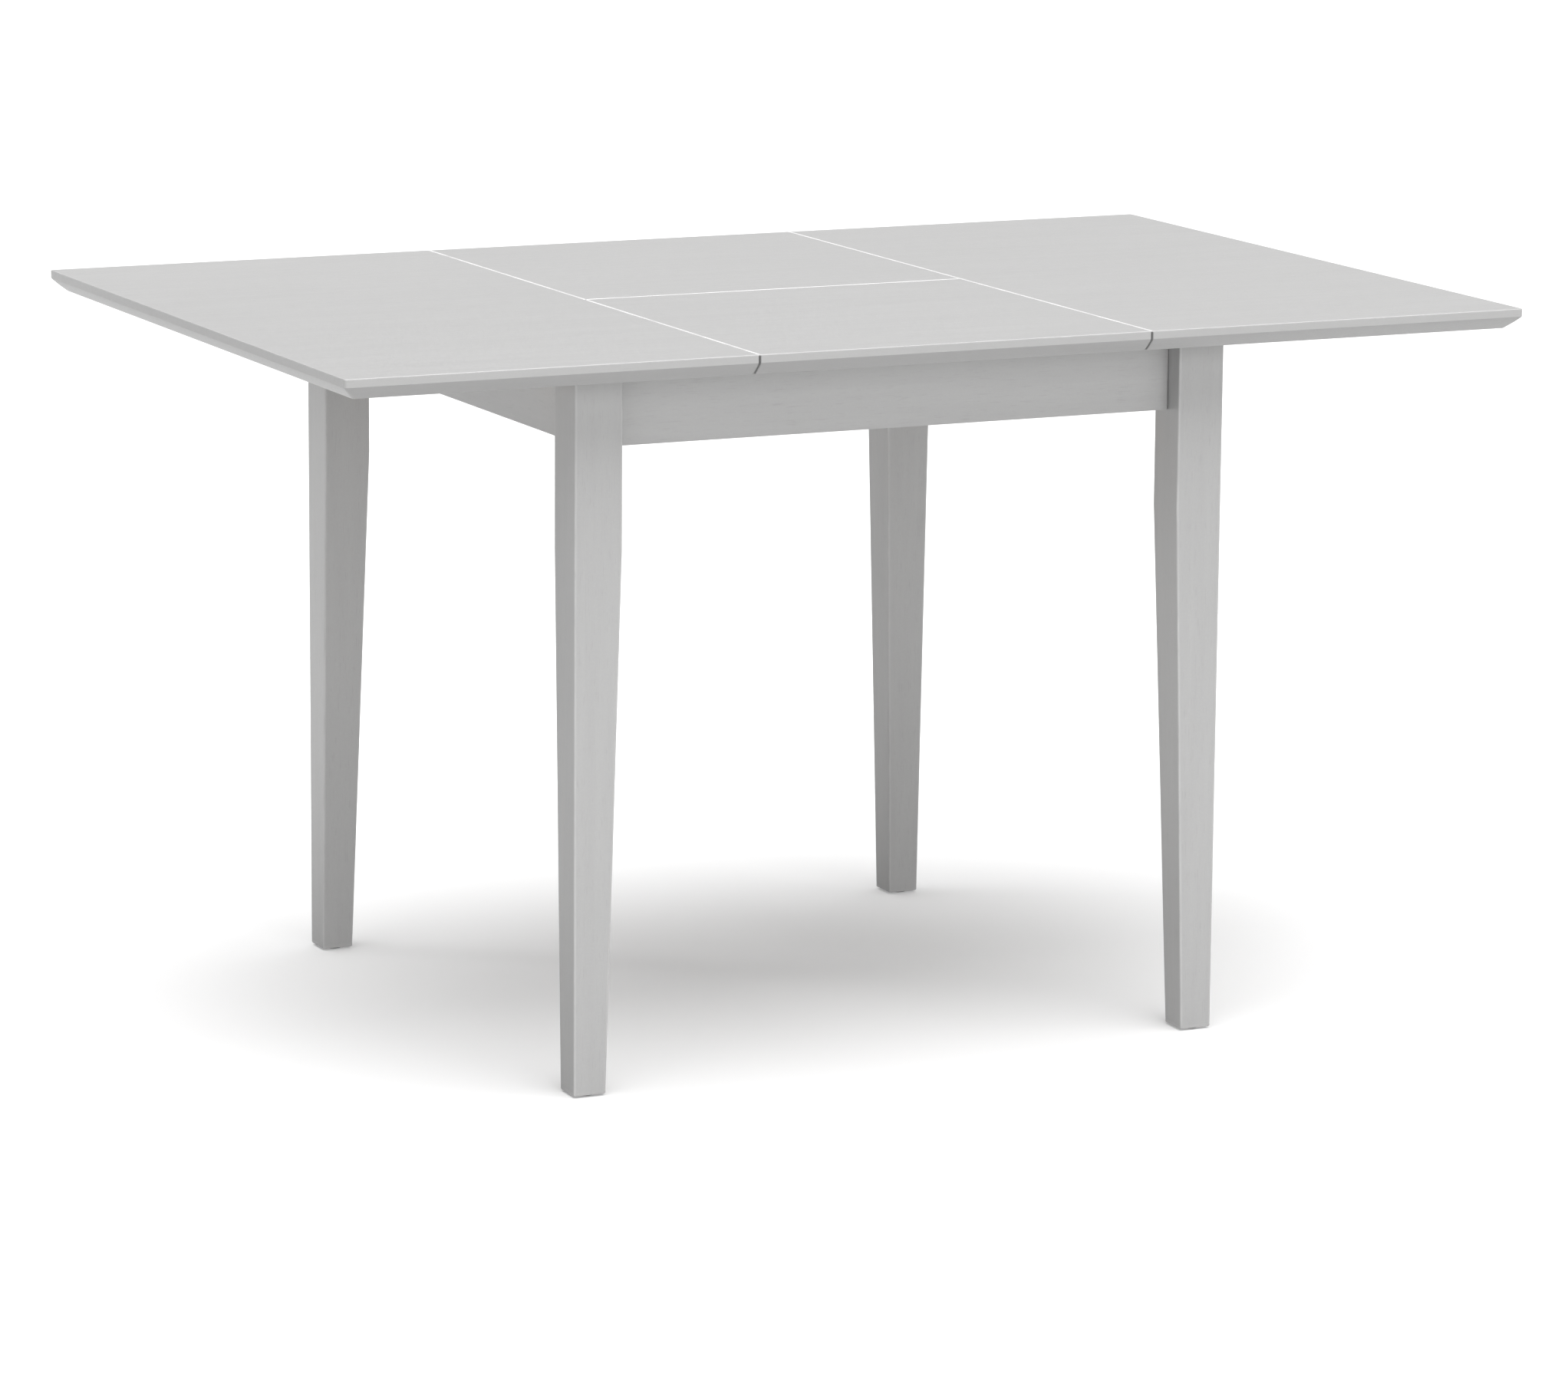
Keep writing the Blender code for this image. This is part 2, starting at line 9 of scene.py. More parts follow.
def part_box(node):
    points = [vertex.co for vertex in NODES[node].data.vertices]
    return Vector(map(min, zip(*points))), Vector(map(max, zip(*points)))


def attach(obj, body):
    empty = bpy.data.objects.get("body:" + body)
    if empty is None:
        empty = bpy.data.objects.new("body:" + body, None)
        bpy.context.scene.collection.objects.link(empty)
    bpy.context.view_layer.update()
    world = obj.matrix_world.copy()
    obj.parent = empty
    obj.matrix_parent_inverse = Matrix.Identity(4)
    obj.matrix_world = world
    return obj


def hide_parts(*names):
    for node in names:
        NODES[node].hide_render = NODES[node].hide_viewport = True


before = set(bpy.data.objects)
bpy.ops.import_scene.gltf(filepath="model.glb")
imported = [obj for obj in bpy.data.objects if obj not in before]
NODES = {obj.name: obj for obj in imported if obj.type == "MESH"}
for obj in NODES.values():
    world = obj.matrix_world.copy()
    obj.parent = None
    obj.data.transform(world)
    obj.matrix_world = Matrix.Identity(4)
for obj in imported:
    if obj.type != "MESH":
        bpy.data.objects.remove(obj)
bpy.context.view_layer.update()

# ---- Camera ----
CAMERA_PLACE = (-2.994, -6.355, 1.725)
CAMERA_HEADING = 25.33
CAMERA_DIP = 11.20
CAMERA_ROLL = 0.44
LENS = 149.7

# ---- Names that pieces share ----
SIDES = {"left": -1, "right": 1}
DEPTHS = {"front": -1, "rear": 1}
TOP_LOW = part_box("tabletop_left")[0].z
TOP_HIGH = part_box("tabletop_left")[1].z

# ---- Tabletop profile ----
EDGE_BAND = 0.0085
UNDERCUT = 0.0142
CURVE_POWER = 1.15
CURVE_STEPS = 14
ARRIS = 0.0008
SEAM_ARRIS = 0.0009
ARRIS_STEPS = 4
EASE = 0.0007
CORNER_R = 0.0030
SEAM_CORNER_R = 0.0010
SHAPED_RUB_AND_HIGHLIGHT = 0.15       # the shaped edges' share of the rubbing and painted highlight that the seams have
CORNER_STEPS = 5

# ---- Legs ----
LEG_ARRIS = 0.0018
LEG_EASE = 0.0012
FOOT_CHAMFER = 0.0015
TAPER_Z = 0.570

# ---- Fastenings ----
ROUND = 32
NUT_R = 0.0075
THREAD_PITCH = 0.00125
THREAD_DEEP = 0.0006
DOME_TURNS = (15, 35, 55, 75, 90)
DOME_RISE = 0.3         # height of a peg's dome, as a share of its radius
NUT_CHAMFER = 0.0007
GLIDE_RIM = 0.0007
GLIDE_GAP = 0.0003
SCREW_R = 0.0018
RECESS_W = 0.0005
RECESS_R = 0.0023
RECESS_DEEP = 0.0009
GLIDE_NAIL_R = 0.0015

# ---- Colour ----
# The tabletop and the frame share one lacquer; the top's lighter tone is painted light.
TOP_TONE = 0.38
FRAME_TONE = 0.33
# strength of the lighter rubbed lacquer on the tabletop's arrises, partly wear and partly painted highlight
TOP_RUB_AND_HIGHLIGHT = 0.8
LEG_RUB = 0.22
APRON_RUB = 0.15
SIDE_SHADE_TONE = 0.78        # tone of the painted shade on a moulded edge, as a share of the face's
# strength of the painted shade on the moulded edges
SIDE_SHADE = 0.7
UNDER_SHADE_TONE = 0.55       # tone of the painted shade on the faces that look down, as a share of the face's
# strength of the painted shade on the faces that look down
UNDER_SHADE = 0.6
PALE = (1.0, 1.0, 1.0, 1.0)

# ---- Light ----
FLOOR_REACH = 60.0
FLOOR_TONES = (0.59, 0.61)
FLOOR_GLOW = 0.25
ROOM_GLOW = 0.06
SUN_PLACE = (0.0, 0.0, 5.0)


# ---- Shapes ----
def mesh_from_rings(loops, wear_and_painted_light=None):
    """A closed mesh through equal loops of points, capped at both ends, with a value on each point for
    wear, painted highlight and painted shade.
    """
    shape = bmesh.new()
    layer = shape.verts.layers.float.new("wear_and_painted_light")
    made = []
    for number, loop in enumerate(loops):
        ring = [shape.verts.new(point) for point in loop]
        if wear_and_painted_light:
            for vert, value in zip(ring, wear_and_painted_light[number]):
                vert[layer] = value
        made.append(ring)
    count = len(made[0])
    for lower, upper in zip(made, made[1:]):
        for i in range(count):
            j = (i + 1) % count
            shape.faces.new((lower[i], lower[j], upper[j], upper[i]))
    shape.faces.new(list(reversed(made[0])))
    shape.faces.new(made[-1])
    bmesh.ops.recalc_face_normals(shape, faces=shape.faces)
    return shape


def heading(degrees):
    """A unit vector in the plan."""
    angle = math.radians(degrees)
    return Vector((math.cos(angle), math.sin(angle)))


def rounded_plan(x_span, y_span, radii, ease):
    """Points round a rectangle with rounded corners, each arc between two more points along the sides."""
    (x0, x1), (y0, y1) = x_span, y_span
    corners = ((x0, y0, 1, 1, 180), (x1, y0, -1, 1, 270), (x1, y1, -1, -1, 0), (x0, y1, 1, -1, 90))
    points = []
    for (x, y, x_in, y_in, start), radius in zip(corners, radii):
        centre = Vector((x + x_in * radius, y + y_in * radius))
        turns = [start + 90 * step / (CORNER_STEPS - 1) for step in range(CORNER_STEPS)]
        arc = [centre + radius * heading(turn) for turn in turns]
        points += [arc[0] - ease * heading(start + 90), *arc, arc[-1] + ease * heading(start + 180)]
    return points


def turned(profile, place, turn=Matrix.Identity(4)):
    """A round shape from pairs of radius and height, turned and put in its place."""
    loops = []
    for radius, height in profile:
        circle = [radius * heading(360 * step / ROUND) for step in range(ROUND)]
        loops.append([(point.x, point.y, height) for point in circle])
    shape = mesh_from_rings(loops)
    bmesh.ops.transform(shape, matrix=Matrix.Translation(place) @ turn, verts=shape.verts)
    return shape


def piece_from(name, shape, material, body, node, sharp=32.0):
    """Turn a shape into a piece that rides on a body and stands for its CAD node."""
    mesh = bpy.data.meshes.new(name)
    shape.to_mesh(mesh)
    shape.free()
    mesh.shade_smooth()
    mesh.set_sharp_from_angle(angle=math.radians(sharp))
    mesh.materials.append(material)
    piece = bpy.data.objects.new(name, mesh)
    bpy.context.scene.collection.objects.link(piece)
    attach(piece, body)
    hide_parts(node)
    return piece


# ---- Materials ----
class Tree:
    """A short way to write a material's nodes."""

    def __init__(self, name):
        self.material = bpy.data.materials.new(name)
        self.material.use_nodes = True
        self.nodes = self.material.node_tree.nodes
        self.links = self.material.node_tree.links
        self.shader = self.nodes["Principled BSDF"]
        coordinates = self.nodes.new("ShaderNodeTexCoord")
        self.place = coordinates.outputs["Object"]
        self.normal = coordinates.outputs["Normal"]

    def set(self, socket, value):
        """Link a socket to another, or give it a number or colour."""
        if isinstance(value, bpy.types.NodeSocket):
            self.links.new(value, socket)
        else:
            socket.default_value = value

    def shade(self, **values):
        """Inputs of the shader, with underscores for the spaces in their names."""
        for key, value in values.items():
            self.set(self.shader.inputs[key.replace("_", " ")], value)

    def add(self, kind, inputs, **settings):
        """A node with its settings and inputs."""
        node = self.nodes.new(kind)
        for key, value in settings.items():
            setattr(node, key, value)
        for key, value in inputs.items():
            self.set(node.inputs[key], value)
        return node

    def stretched(self, scale, offset):
        """Coordinates scaled along each axis, moved so that every board has its own figure."""
        inputs = {"Vector": self.place, "Scale": scale, "Location": offset}
        return self.add("ShaderNodeMapping", inputs).outputs["Vector"]

    def noise(self, vector, scale, detail=3.0, roughness=0.5):
        inputs = {"Vector": vector, "Scale": scale, "Detail": detail, "Roughness": roughness}
        return self.add("ShaderNodeTexNoise", inputs).outputs["Fac"]

    def remap(self, value, low, high, to_low=0.0, to_high=1.0):
        inputs = {"Value": value, "From Min": low, "From Max": high, "To Min": to_low, "To Max": to_high}
        return self.add("ShaderNodeMapRange", inputs).outputs["Result"]

    def math(self, operation, first, second):
        return self.add("ShaderNodeMath", {0: first, 1: second}, operation=operation).outputs[0]

    def mix(self, factor, first, second):
        """A colour between two others."""
        return self.add("ShaderNodeMix", {0: factor, 6: first, 7: second}, data_type="RGBA").outputs[2]

    def bump(self, height, strength, distance, normal=None):
        inputs = {"Height": height, "Strength": strength, "Distance": distance}
        if normal is not None:
            inputs["Normal"] = normal
        return self.add("ShaderNodeBump", inputs).outputs["Normal"]

    def facing(self, axis):
        """How much the surface faces along one of the piece's axes, either way."""
        parts = self.add("ShaderNodeSeparateXYZ", {"Vector": self.normal})
        return self.math("ABSOLUTE", parts.outputs[axis], 0.0)

    def rounded_edges(self):
        """One on an edge between square faces, nothing on the faces."""
        most = self.math("MAXIMUM", self.math("MAXIMUM", self.facing(0), self.facing(1)), self.facing(2))
        return self.remap(most, 0.96, 0.82)


def grey(value, warmth=0.004):
    """A near-neutral colour."""
    return (value * (1 + warmth), value, value * (1 - warmth), 1.0)


def along(axis, grain, across):
    """A scale with one value along the grain and another across it."""
    return tuple(grain if i == axis else across for i in range(3))


def lacquer(name, grain_axis, seed, tone, rub_and_highlight_strength, square=False, edge_shade=0.0):
    """Pale grey satin lacquer over open-grained wood, rubbed lighter on its arrises, which on the tabletop
    is also a painted highlight.

    A square board's arrises are found from its normals, and those of the others are marked on the mesh,
    along with painted shade in the seam gaps.
    A moulded edge can carry painted shade, darker than the face, and darker still where it looks down.
    """
    tree = Tree(name)
    offset = (seed * 1.37, seed * 2.11, seed * 0.83)
    streaks = tree.noise(tree.stretched(along(grain_axis, 5.0, 90.0), offset), 1.0, 4.0, 0.6)
    pores = tree.noise(tree.stretched(along(grain_axis, 55.0, 900.0), offset), 1.0, 2.0)
    pore_mask = tree.remap(pores, 0.60, 0.72)
    cloud = tree.noise(tree.stretched((2.2, 2.2, 2.2), offset), 1.0, 2.0)
    speck = tree.noise(tree.place, 420.0, 2.0)
    colour = tree.mix(tree.remap(streaks, 0.25, 0.75), grey(tone * 0.965), grey(tone * 1.03))
    colour = tree.mix(tree.remap(cloud, 0.3, 0.7, 0.0, 0.25), colour, grey(tone * 0.93))
    colour = tree.mix(tree.remap(speck, 0.45, 0.75, 0.0, 0.18), colour, grey(tone * 1.15))
    colour = tree.mix(tree.math("MULTIPLY", pore_mask, 0.22), colour, grey(tone * 0.62))
    if edge_shade:
        # Painted shade: faces that do not look up, such as the moulded edge band, get a darker tone.
        sloping = tree.remap(tree.facing(2), 0.98, 0.75, 0.0, edge_shade)
        colour = tree.mix(sloping, colour, grey(tone * SIDE_SHADE_TONE))
        # Painted shade: faces that look down, such as the undercut, get a darker tone still.
        up = tree.add("ShaderNodeSeparateXYZ", {"Vector": tree.normal}).outputs[2]
        colour = tree.mix(tree.remap(up, -0.1, -0.6, 0.0, UNDER_SHADE), colour, grey(tone * UNDER_SHADE_TONE))
    # The mesh's marks: above nought for wear and painted highlight, below nought for painted shade.
    wear_and_painted_light = tree.add("ShaderNodeAttribute", {}, attribute_name="wear_and_painted_light").outputs["Fac"]
    worn_and_highlit = tree.rounded_edges() if square else tree.math("MAXIMUM", wear_and_painted_light, 0.0)
    patchy = tree.remap(tree.noise(tree.place, 38.0), 0.25, 0.6, 0.55 * rub_and_highlight_strength, rub_and_highlight_strength)
    rub_and_highlight = tree.math("MULTIPLY", worn_and_highlit, patchy)
    # Lighter rubbed-through lacquer on the arrises; on the tabletop it is also a painted highlight.
    colour = tree.mix(rub_and_highlight, colour, grey(min(0.86, tone * 2.2)))
    # Painted shade: where the mark is below nought, in the seam gaps, the colour goes nearly black,
    # standing in for the gap's shadow.
    painted_gap_shade = tree.remap(wear_and_painted_light, -0.1, -1.0, 0.0, 0.7)
    colour = tree.mix(painted_gap_shade, colour, grey(tone * 0.18))
    rough = tree.math("SUBTRACT", tree.remap(speck, 0.3, 0.7, 0.40, 0.50), tree.math("MULTIPLY", rub_and_highlight, 0.08))
    peel = tree.bump(tree.noise(tree.place, 230.0, 1.0), 0.10, 0.0004)
    ripple = tree.bump(streaks, 0.15, 0.0006, peel)
    relief = tree.bump(tree.math("SUBTRACT", 1.0, pore_mask), 0.35, 0.0002, ripple)
    tree.shade(Base_Color=colour, Roughness=rough, Normal=relief)
    tree.shade(Specular_IOR_Level=0.45, Coat_Weight=0.12, Coat_Roughness=0.35)
    return tree.material


def beech(name, grain_axis, seed):
    """Planed bare beech: soft growth bands, short dark flecks, darker end grain, pale handled edges."""
    tree = Tree(name)
    offset = (seed * 1.71, seed * 0.93, seed * 2.37)
    bands = tree.noise(tree.stretched(along(grain_axis, 2.5, 60.0), offset), 1.0, 4.0, 0.55)
    flecks = tree.noise(tree.stretched(along(grain_axis, 160.0, 1300.0), offset), 1.0, 2.0)
    fleck_mask = tree.remap(flecks, 0.60, 0.70)
    colour = tree.mix(tree.remap(bands, 0.3, 0.7), (0.40, 0.270, 0.165, 1), (0.54, 0.395, 0.265, 1))
    colour = tree.mix(tree.math("MULTIPLY", fleck_mask, 0.55), colour, (0.23, 0.120, 0.058, 1))
    rings = tree.noise(tree.stretched((220.0, 220.0, 220.0), offset), 1.0, 3.0)
    end_grain = tree.mix(tree.remap(rings, 0.35, 0.65), (0.24, 0.135, 0.070, 1), (0.38, 0.235, 0.130, 1))
    colour = tree.mix(tree.remap(tree.facing(grain_axis), 0.80, 0.98), colour, end_grain)
    colour = tree.mix(tree.math("MULTIPLY", tree.rounded_edges(), 0.3), colour, (0.66, 0.49, 0.33, 1))
    relief = tree.bump(flecks, 0.25, 0.0003, tree.bump(bands, 0.2, 0.0005))
    tree.shade(Base_Color=colour, Roughness=tree.remap(flecks, 0.3, 0.7, 0.52, 0.66), Normal=relief)
    return tree.material


def zinc_plate(name):
    """Zinc plate: bluish bright metal with faint yellow clouds and fine scratches."""
    tree = Tree(name)
    cloud = tree.noise(tree.place, 140.0, 2.0)
    scratch = tree.noise(tree.stretched((400.0, 3500.0, 3500.0), (0.0, 0.0, 0.0)), 1.0, 2.0)
    colour = tree.mix(tree.remap(cloud, 0.35, 0.7), (0.55, 0.58, 0.62, 1), (0.62, 0.58, 0.46, 1))
    relief = tree.bump(scratch, 0.15, 0.0001)
    rough = tree.remap(cloud, 0.3, 0.7, 0.26, 0.42)
    tree.shade(Base_Color=colour, Metallic=1.0, Roughness=rough, Normal=relief)
    return tree.material


def satin_brass(name):
    """Tumbled brass, a little tarnished, brighter on its edges."""
    tree = Tree(name)
    cloud = tree.noise(tree.place, 180.0, 3.0)
    colour = tree.mix(tree.remap(cloud, 0.35, 0.7), (0.72, 0.52, 0.22, 1), (0.50, 0.34, 0.13, 1))
    colour = tree.mix(tree.math("MULTIPLY", tree.rounded_edges(), 0.6), colour, (0.84, 0.66, 0.34, 1))
    relief = tree.bump(tree.noise(tree.place, 2200.0, 1.0), 0.15, 0.0001)
    rough = tree.remap(cloud, 0.3, 0.7, 0.30, 0.45)
    tree.shade(Base_Color=colour, Metallic=1.0, Roughness=rough, Normal=relief)
    return tree.material


def moulded_plastic(name):
    """Dark moulded plastic, scuffed."""
    tree = Tree(name)
    scuff = tree.noise(tree.place, 300.0, 4.0)
    colour = tree.mix(tree.remap(scuff, 0.45, 0.75), (0.030, 0.029, 0.028, 1), (0.085, 0.080, 0.075, 1))
    relief = tree.bump(scuff, 0.2, 0.0002)
    tree.shade(Base_Color=colour, Roughness=tree.remap(scuff, 0.3, 0.7, 0.45, 0.65), Normal=relief)
    return tree.material


def pale_floor():
    """Plain pale floor with the faintest unevenness."""
    tree = Tree("pale_floor")
    cloud = tree.noise(tree.place, 1.5, 2.0)
    low, high = FLOOR_TONES
    tree.shade(Base_Color=tree.mix(cloud, grey(low, 0.0), grey(high, 0.0)), Roughness=0.9)
    tree.shade(Specular_IOR_Level=0.1, Emission_Color=PALE, Emission_Strength=FLOOR_GLOW)
    return tree.material


STEEL = zinc_plate("zinc_plate")
BRASS = satin_brass("hinge_brass")
PLASTIC = moulded_plastic("moulded_plastic")


# ---- Tabletop ----
def panel_levels():
    """Height, inset of the shaped sides, inset of the seam sides and the mark for wear and painted
    highlight, from the underside up.
    """
    levels = [(TOP_LOW, UNDERCUT + EASE, SEAM_ARRIS + EASE, 0.0), (TOP_LOW, UNDERCUT, SEAM_ARRIS, 0.3)]
    curve = TOP_HIGH - EDGE_BAND - TOP_LOW
    for step in range(CURVE_STEPS - 1, -1, -1):
        down = step / CURVE_STEPS
        levels.append((TOP_HIGH - EDGE_BAND - down * curve, UNDERCUT * down ** CURVE_POWER, 0.0, 0.0))
    levels.append((TOP_HIGH - ARRIS - EASE, 0.0, 0.0, 0.0))
    for step in range(ARRIS_STEPS + 1):
        angle = math.radians(90 * step / ARRIS_STEPS)
        level = TOP_HIGH - ARRIS * (1 - math.sin(angle))
        rise = max(0.0, level - (TOP_HIGH - SEAM_ARRIS))
        seam_in = SEAM_ARRIS - math.sqrt(max(0.0, SEAM_ARRIS ** 2 - rise ** 2))
        levels.append((level, ARRIS * (1 - math.cos(angle)), seam_in, 1.0 if 0 < step else 0.5))
    levels.append((TOP_HIGH, ARRIS + EASE, SEAM_ARRIS + EASE, 0.0))
    return levels


def panel(node, body, seams, seed):
    """One section of the top with its shaped edge, eased seams and rounded outer corners."""
    low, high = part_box(node)
    pairs = (("-x", "-y"), ("+x", "-y"), ("+x", "+y"), ("-x", "+y"))
    at_seam = [bool(seams & set(pair)) for pair in pairs]
    radii = [SEAM_CORNER_R if seam else CORNER_R for seam in at_seam]
    loops, wear_and_painted_light = [], []
    for level, shaped_in, seam_in, worn_and_highlit in panel_levels():
        inset = {side: seam_in if side in seams else shaped_in for side in ("-x", "+x", "-y", "+y")}
        x_span = (low.x + inset["-x"], high.x - inset["+x"])
        y_span = (low.y + inset["-y"], high.y - inset["+y"])
        loops.append([(*point, level) for point in rounded_plan(x_span, y_span, radii, EASE)])
        below = TOP_LOW < level < TOP_HIGH - ARRIS
        side_wear_and_highlight = {side: worn_and_highlit if side in seams else SHAPED_RUB_AND_HIGHLIGHT * worn_and_highlit for side in inset}
        marks = []
        for seam, (before, after) in zip(at_seam, (("-x", "-y"), ("-y", "+x"), ("+x", "+y"), ("+y", "-x"))):
            # Painted shade: below the arris, the corner arcs beside a seam get -1, which the lacquer paints
            # dark as the seam gap's shadow.
            arc = -1.0 if seam and below else SHAPED_RUB_AND_HIGHLIGHT * worn_and_highlit
            marks += [side_wear_and_highlight[before], *[arc] * CORNER_STEPS, side_wear_and_highlight[after]]
        wear_and_painted_light.append(marks)
    material = lacquer(f"{node}_lacquer", 0, seed, TOP_TONE, TOP_RUB_AND_HIGHLIGHT, edge_shade=SIDE_SHADE)
    return piece_from(f"{node}_board", mesh_from_rings(loops, wear_and_painted_light), material, body, node)


def cut_boxes(piece, boxes):
    """Cut boxes out of a piece and leave no modifier on it."""
    for low, high in boxes:
        shape = bmesh.new()
        size = Matrix.Diagonal((*(high - low), 1.0))
        bmesh.ops.create_cube(shape, size=1.0, matrix=Matrix.Translation((high + low) / 2) @ size)
        mesh = bpy.data.meshes.new("cut")
        shape.to_mesh(mesh)
        shape.free()
        cutter = bpy.data.objects.new("cut", mesh)
        bpy.context.scene.collection.objects.link(cutter)
        step = piece.modifiers.new("cut", "BOOLEAN")
        step.operation = "DIFFERENCE"
        step.solver = "EXACT"
        step.object = cutter
        bpy.context.view_layer.update()
        result = bpy.data.meshes.new_from_object(piece.evaluated_get(bpy.context.evaluated_depsgraph_get()))
        piece.modifiers.clear()
        old, piece.data = piece.data, result
        bpy.data.meshes.remove(old)
        bpy.data.objects.remove(cutter)


def hinge_mortises(depth):
    """The boxes that the hinge bodies of one leaf panel sit in, open at the seam."""
    clear, past_seam = Vector((0.0003, 0.0003, 0.0003)), 0.003
    boxes = []
    for side in SIDES:
        low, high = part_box(f"leaf_hinge_{depth}_{side}")
        low, high = low - clear, high + clear
        if depth == "front":
            high.y = past_seam
        else:
            low.y = -past_seam
        boxes.append((low, high))
    return boxes


def build_top():
    """The two sliding halves and the two leaf panels."""
    panel("tabletop_left", "top_left", {"+x"}, 1)
    panel("tabletop_right", "top_right", {"-x"}, 2)
    front = panel("leaf_panel_front", "leaf_front", {"-x", "+x", "+y"}, 3)
    rear = panel("leaf_panel_rear", "leaf_rear", {"-x", "+x", "-y"}, 4)
    cut_boxes(front, hinge_mortises("front"))
    cut_boxes(rear, hinge_mortises("rear"))


# ---- Legs ----
def foot_width(node):
    """The width of a leg at the floor, read from its lowest points."""
    points = [vert.co for vert in NODES[node].data.vertices]
    lowest = min(point.z for point in points)
    near = [point.x for point in points if point.z < lowest + 2 * FOOT_CHAMFER]
    return max(near) - min(near)


def build_leg(depth, side, seed):
    """A square leg, tapered on its inner faces, with rounded arrises."""
    node = f"leg_{depth}_{side}"
    low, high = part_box(node)
    wide, foot = high.x - low.x, foot_width(node)
    outer_x = low.x if SIDES[side] < 0 else high.x
    outer_y = low.y if DEPTHS[depth] < 0 else high.y
    # Height, width, inset of the foot's chamfer and wear.
    levels = [(low.z, foot, 2 * FOOT_CHAMFER, 0.0), (low.z, foot, FOOT_CHAMFER, 0.4)]
    levels.append((low.z + FOOT_CHAMFER / 3, foot, FOOT_CHAMFER / 3, 0.8))
    levels += [(low.z + FOOT_CHAMFER, foot, 0.0, 0.6), (low.z + 3 * FOOT_CHAMFER, foot, 0.0, 0.0)]
    levels.append((TAPER_Z, wide, 0.0, 0.0))
    levels += [(high.z - 0.001, wide, 0.0, 0.0), (high.z, wide, 0.0003, 0.0)]
    loops, wear_and_painted_light = [], []
    for level, width, inset, worn_and_highlit in levels:
        plan = rounded_plan((inset, width - inset), (inset, width - inset), [LEG_ARRIS] * 4, LEG_EASE)
        loops.append([(outer_x - SIDES[side] * u, outer_y - DEPTHS[depth] * v, level) for u, v in plan])
        wear_and_painted_light.append([max(value, worn_and_highlit) for value in (0.0, 0.25, 0.9, 1.0, 0.9, 0.25, 0.0) * 4])
    material = lacquer(f"{node}_lacquer", 2, seed, FRAME_TONE, LEG_RUB)
    piece_from(f"{node}_post", mesh_from_rings(loops, wear_and_painted_light), material, "frame", node)


# ---- Fastenings ----
def diagonal_turn(side, depth):
    """The turn that lays an upright shape along the diagonal from a leg towards the middle."""
    inward = Vector((-SIDES[side], -DEPTHS[depth], 0.0))
    return inward.to_track_quat("Z", "Y").to_matrix().to_4x4()


def thread(radius, long):
    """The profile of a threaded rod with chamfered ends, centred on its middle."""
    core = radius - THREAD_DEEP
    start = THREAD_PITCH - long / 2
    profile = [(core, -long / 2), (core, start)]
    for number in range(int((long - 2 * THREAD_PITCH) / THREAD_PITCH)):
        foot = start + number * THREAD_PITCH
        profile += [(radius, foot + 0.4 * THREAD_PITCH), (radius, foot + 0.6 * THREAD_PITCH)]
        profile.append((core, foot + 0.98 * THREAD_PITCH))
    return profile + [(core, long / 2)]


def build_bolt(depth, side):
    """A threaded hanger bolt through the corner block."""
    node = f"hanger_bolt_{depth}_{side}"
    low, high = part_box(node)
    radius = (high.z - low.z) / 2
    long = (high.x - low.x) * math.sqrt(2) - 2 * radius
    shape = turned(thread(radius, long), (low + high) / 2, diagonal_turn(side, depth))
    piece_from(f"{node}_threaded", shape, STEEL, "frame", node)


def build_nut(depth, side):
    """A hexagon nut with chamfered corners."""
    node = f"hanger_nut_{depth}_{side}"
    low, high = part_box(node)
    flat = NUT_R * math.cos(math.pi / 6)
    spread = NUT_R * (math.cos(math.pi / 12) + math.sin(math.pi / 12))
    tall = max(0.004, min(0.0065, (high.x - low.x) * math.sqrt(2) - 2 * flat))
    loops = []
    for height, limit in ((0.0, 1.02), (NUT_CHAMFER, 2.0), (tall - NUT_CHAMFER, 2.0), (tall, 1.02)):
        loop = []
        for step in range(2 * ROUND + 8):
            turn = 360 * step / (2 * ROUND + 8)
            radius = min(flat / math.cos(math.radians((turn + 30) % 60 - 30)), flat * limit)
            point = radius * heading(turn)
            loop.append((point.x, point.y, height - tall / 2))
        loops.append(loop)
    shape = mesh_from_rings(loops)
    place = Matrix.Translation((low + high) / 2) @ diagonal_turn(side, depth)
    bmesh.ops.transform(shape, matrix=place, verts=shape.verts)
    piece_from(f"{node}_hexagon", shape, STEEL, "frame", node, 20.0)


def build_glide(depth, side):
    """A round glide with a soft lower rim, nailed into the foot."""
    node = f"foot_glide_{depth}_{side}"
    low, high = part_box(node)
    radius, thick = (high.x - low.x) / 2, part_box(f"leg_{depth}_{side}")[0].z - low.z - GLIDE_GAP
    profile = [(radius - GLIDE_RIM, 0.0), (radius - 0.3 * GLIDE_RIM, 0.3 * GLIDE_RIM)]
    profile += [(radius, GLIDE_RIM), (radius, thick)]
    profile += [(GLIDE_NAIL_R, thick), (GLIDE_NAIL_R, high.z - low.z)]
    place = Vector(((low.x + high.x) / 2, (low.y + high.y) / 2, low.z))
    piece_from(f"{node}_disc", turned(profile, place), PLASTIC, "frame", node)


def build_peg(side, depth):
    """A steel stop peg with a domed end."""
    node = f"stop_peg_{side}_{depth}"
    low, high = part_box(node)
    radius, tall = (high.x - low.x) / 2, high.z - low.z
    profile = []
    for turn in map(math.radians, DOME_TURNS):
        profile.append((radius * math.sin(turn), DOME_RISE * radius * (1 - math.cos(turn))))
    profile.append((radius, tall))
    place = Vector(((low.x + high.x) / 2, (low.y + high.y) / 2, low.z))
    piece_from(f"{node}_pin", turned(profile, place), STEEL, f"top_{side}", node)


